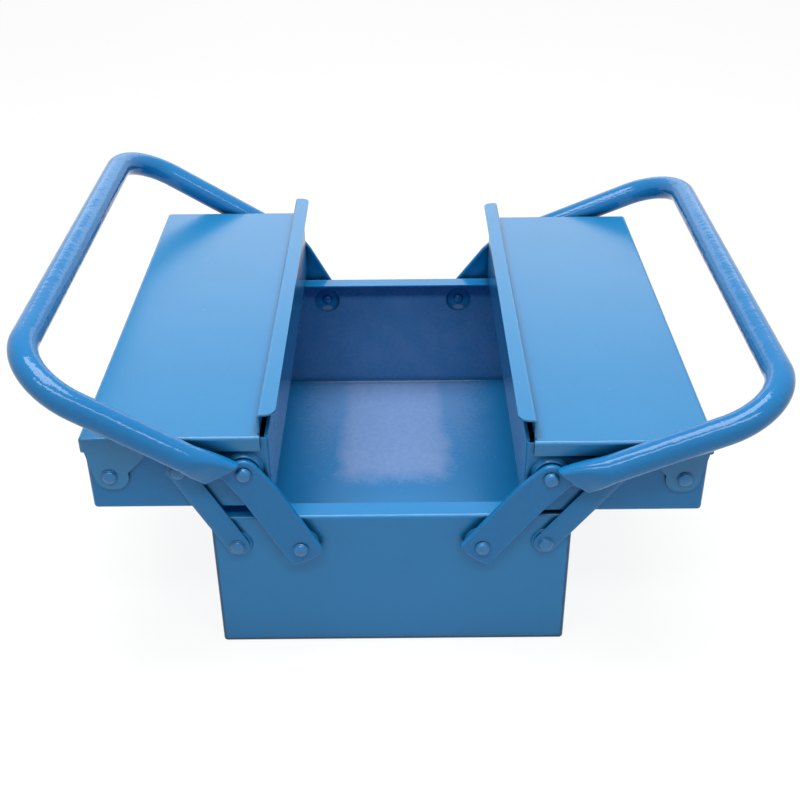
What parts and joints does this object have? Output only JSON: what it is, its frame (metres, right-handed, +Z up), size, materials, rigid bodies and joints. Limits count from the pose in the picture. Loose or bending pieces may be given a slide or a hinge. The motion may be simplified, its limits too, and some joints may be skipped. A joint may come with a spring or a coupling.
{
  "type": "cantilever tool box",
  "caption": "Cantilever tool box in folded sheet steel, shown open, with lidded trays that swing out on riveted links and tube handles that draw them shut.",
  "frame": {"origin": "middle of the base's underside", "axes": "+X to the right across the box, along which the trays swing out; +Y from the front end to the back end along the base; +Z up"},
  "size_m": [0.4133, 0.3372, 0.1972],
  "materials": {
    "sheet_enamel": "gloss",
    "tube_enamel": "gloss",
    "rivet_enamel": "gloss"
  },
  "bodies": {
    "base": {"base_box": "sheet_enamel", "base_arm_rivet_front_left": "rivet_enamel", "base_arm_rivet_back_left": "rivet_enamel", "base_link_rivet_front_left": "rivet_enamel", "base_link_rivet_back_left": "rivet_enamel", "base_arm_rivet_front_right": "rivet_enamel", "base_arm_rivet_back_right": "rivet_enamel", "base_link_rivet_front_right": "rivet_enamel", "base_link_rivet_back_right": "rivet_enamel"},
    "left_handle": {"handle_left": "tube_enamel"},
    "left_tray": {"tray_left": "sheet_enamel", "tray_arm_rivet_front_left": "rivet_enamel", "tray_arm_rivet_back_left": "rivet_enamel", "tray_link_rivet_front_left": "rivet_enamel", "tray_link_rivet_back_left": "rivet_enamel", "lid_hinge_rivet_front_left": "rivet_enamel", "lid_hinge_rivet_back_left": "rivet_enamel"},
    "left_lid": {"lid_left": "sheet_enamel"},
    "left_front_link": {"outer_link_front_left": "sheet_enamel"},
    "left_back_link": {"outer_link_back_left": "sheet_enamel"},
    "right_handle": {"handle_right": "tube_enamel"},
    "right_tray": {"tray_right": "sheet_enamel", "tray_arm_rivet_front_right": "rivet_enamel", "tray_arm_rivet_back_right": "rivet_enamel", "tray_link_rivet_front_right": "rivet_enamel", "tray_link_rivet_back_right": "rivet_enamel", "lid_hinge_rivet_front_right": "rivet_enamel", "lid_hinge_rivet_back_right": "rivet_enamel"},
    "right_lid": {"lid_right": "sheet_enamel"},
    "right_front_link": {"outer_link_front_right": "sheet_enamel"},
    "right_back_link": {"outer_link_back_right": "sheet_enamel"}
  },
  "joints": [
    {"name": "left_handle_swing", "type": "hinge", "parent": "base", "child": "left_handle", "pos_m": [-0.05029, 0, 0.07341], "axis": [0, 1, 0], "range_deg": [0, 62.3]},
    {"name": "left_tray_swing", "type": "hinge", "parent": "left_handle", "child": "left_tray", "pos_m": [-0.07804, 0, 0.1241], "axis": [0, -1, 0], "range_deg": [0, 62.3]},
    {"name": "left_front_link_swing", "type": "hinge", "parent": "base", "child": "left_front_link", "pos_m": [-0.0855, 0, 0.07341], "axis": [0, 1, 0], "range_deg": [0, 62.3]},
    {"name": "left_back_link_swing", "type": "hinge", "parent": "base", "child": "left_back_link", "pos_m": [-0.0855, 0, 0.07341], "axis": [0, 1, 0], "range_deg": [0, 62.3]},
    {"name": "left_lid_opening", "type": "hinge", "parent": "left_tray", "child": "left_lid", "pos_m": [-0.15044, 0, 0.1206], "axis": [0, -1, 0], "range_deg": [0, 79]},
    {"name": "right_handle_swing", "type": "hinge", "parent": "base", "child": "right_handle", "pos_m": [0.05029, 0, 0.07341], "axis": [0, -1, 0], "range_deg": [0, 71.2]},
    {"name": "right_tray_swing", "type": "hinge", "parent": "right_handle", "child": "right_tray", "pos_m": [0.08555, 0, 0.1192], "axis": [0, 1, 0], "range_deg": [0, 71.2]},
    {"name": "right_front_link_swing", "type": "hinge", "parent": "base", "child": "right_front_link", "pos_m": [0.0855, 0, 0.07341], "axis": [0, -1, 0], "range_deg": [0, 71.2]},
    {"name": "right_back_link_swing", "type": "hinge", "parent": "base", "child": "right_back_link", "pos_m": [0.0855, 0, 0.07341], "axis": [0, -1, 0], "range_deg": [0, 71.2]},
    {"name": "right_lid_opening", "type": "hinge", "parent": "right_tray", "child": "right_lid", "pos_m": [0.15795, 0, 0.1157], "axis": [0, 1, 0], "range_deg": [0, 86]}
  ],
  "couplings": [
    {"joint": "left_tray_swing", "follows": "left_handle_swing", "ratio": 1},
    {"joint": "left_front_link_swing", "follows": "left_handle_swing", "ratio": 1},
    {"joint": "left_back_link_swing", "follows": "left_handle_swing", "ratio": 1},
    {"joint": "right_tray_swing", "follows": "right_handle_swing", "ratio": 1},
    {"joint": "right_front_link_swing", "follows": "right_handle_swing", "ratio": 1},
    {"joint": "right_back_link_swing", "follows": "right_handle_swing", "ratio": 1}
  ]
}
